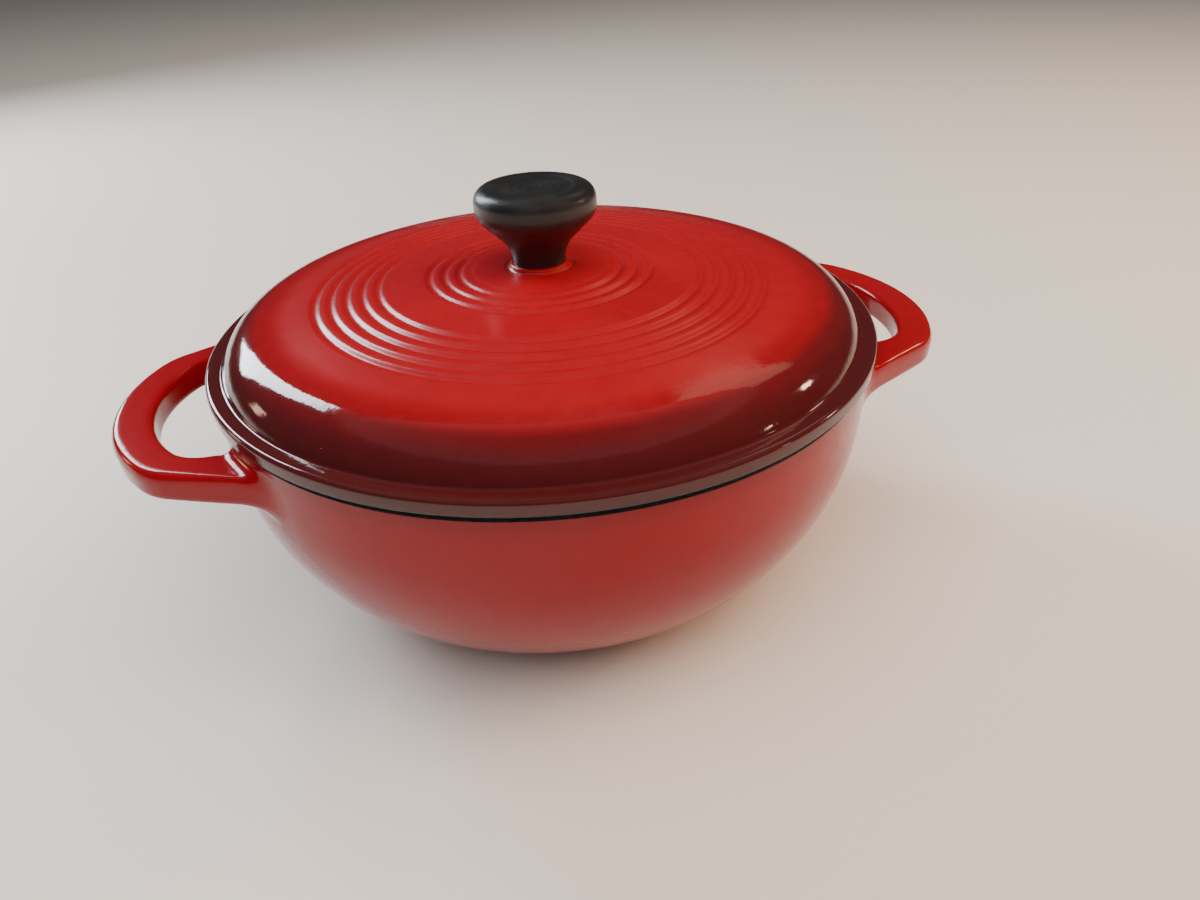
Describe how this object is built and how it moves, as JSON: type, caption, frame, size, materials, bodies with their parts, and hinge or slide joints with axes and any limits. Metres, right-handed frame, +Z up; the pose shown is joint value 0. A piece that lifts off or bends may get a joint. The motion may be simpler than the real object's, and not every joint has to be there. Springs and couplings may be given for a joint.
{
  "type": "dutch oven",
  "caption": "Round enamelled cast iron dutch oven: tapered pot with loop handles, domed ringed lid with rim flange, and a mushroom knob screwed on from below.",
  "frame": {"origin": "middle of the foot ring, on the surface that the pot stands on", "axes": "+X along the two loop handles, +Z up through the lid and knob"},
  "size_m": [0.3526, 0.276, 0.1746],
  "materials": {
    "red_enamel": "glossy red vitreous enamel on cast iron, darker towards edges, cream inside, black rim",
    "black_phenolic": "satin moulded phenolic",
    "brass": "turned",
    "steel": "bright stainless"
  },
  "bodies": {
    "pot_body": {"pot": "red_enamel"},
    "lid_body": {"lid": "red_enamel", "knob": "black_phenolic", "knob_insert": "brass", "knob_screw": "steel", "flat_washer": "steel", "spring_washer": "steel"}
  },
  "joints": [
    {"name": "lid_lift", "type": "slide", "parent": "pot_body", "child": "lid_body", "axis": [0, 0, 1], "range_m": [0, 0.15]}
  ]
}
